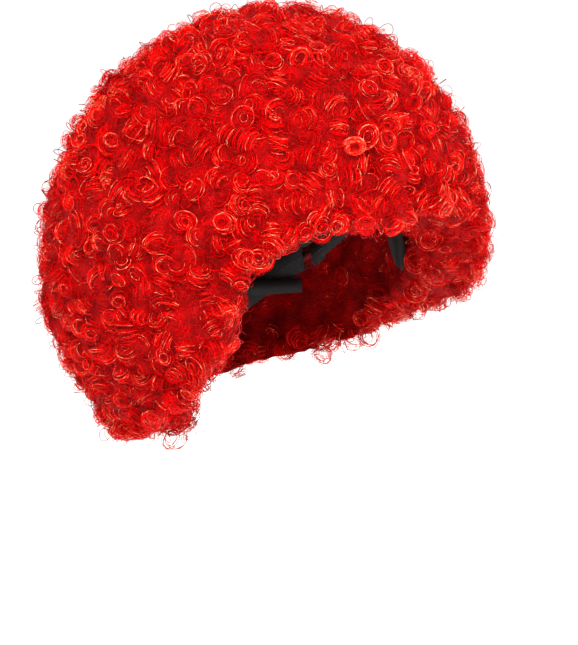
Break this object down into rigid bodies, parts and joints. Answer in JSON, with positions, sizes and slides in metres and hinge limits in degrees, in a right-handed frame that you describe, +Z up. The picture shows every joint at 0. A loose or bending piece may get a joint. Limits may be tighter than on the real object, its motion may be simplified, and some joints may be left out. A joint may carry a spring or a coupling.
{
  "type": "afro costume wig",
  "caption": "Round afro wig of tight red curls sewn in rows on a stretch net cap, open at the face and below, with hooked elastic straps at the nape.",
  "frame": {"origin": "middle of the wearer's head at brow height, where the cap's hat size is measured", "axes": "+Z up, the wearer faces -Y, +X is the wearer's left"},
  "size_m": [0.2718, 0.2808, 0.2417],
  "materials": {
    "hair": "glossy curled synthetic fibre",
    "weft": "stitched track",
    "net": "stretch netting",
    "elastic": "woven elastic tape",
    "velvet": "brushed velvet",
    "label": "satin ribbon",
    "steel": "black enamel"
  },
  "bodies": {
    "cap": {"hair_row_01": "hair", "hair_row_02": "hair", "hair_row_03": "hair", "hair_row_04": "hair", "hair_row_05": "hair", "hair_row_06": "hair", "hair_row_07": "hair", "hair_row_08": "hair", "hair_row_09": "hair", "hair_crown": "hair", "weft_01": "weft", "weft_02": "weft", "weft_03": "weft", "weft_04": "weft", "weft_05": "weft", "weft_06": "weft", "weft_07": "weft", "weft_08": "weft", "weft_09": "weft", "weft_crown": "weft", "net_cap": "net", "crown_patch": "velvet", "crown_pad": "velvet", "front_band": "velvet", "ear_tab_left": "velvet", "ear_tab_right": "velvet", "rib_middle": "elastic", "rib_front_left": "elastic", "rib_front_right": "elastic", "rib_back_left": "elastic", "rib_back_right": "elastic", "nape_band": "elastic", "ear_band_left": "elastic", "ear_band_right": "elastic", "eyelet_tape_left": "elastic", "eyelet_tape_right": "elastic", "care_label": "label"},
    "strap_left": {"adjuster_strap_left": "elastic"},
    "hook_left": {"hook_left": "steel"},
    "strap_right": {"adjuster_strap_right": "elastic"},
    "hook_right": {"hook_right": "steel"}
  },
  "joints": [
    {"name": "strap_left_swing", "type": "hinge", "parent": "cap", "child": "strap_left", "pos_m": [0.05241, 0.05566, -0.04529], "axis": [0.3119, 0.2049, 0.9278], "range_deg": [0, 60]},
    {"name": "hook_left_turn", "type": "hinge", "parent": "strap_left", "child": "hook_left", "pos_m": [0.02481, 0.07718, -0.04077], "axis": [0.3119, 0.2049, 0.9278], "range_deg": [0, 75]},
    {"name": "strap_right_swing", "type": "hinge", "parent": "cap", "child": "strap_right", "pos_m": [-0.05241, 0.05566, -0.04529], "axis": [0.3119, -0.2049, -0.9278], "range_deg": [0, 60]},
    {"name": "hook_right_turn", "type": "hinge", "parent": "strap_right", "child": "hook_right", "pos_m": [-0.02481, 0.07718, -0.04077], "axis": [0.3119, -0.2049, -0.9278], "range_deg": [0, 75]}
  ]
}
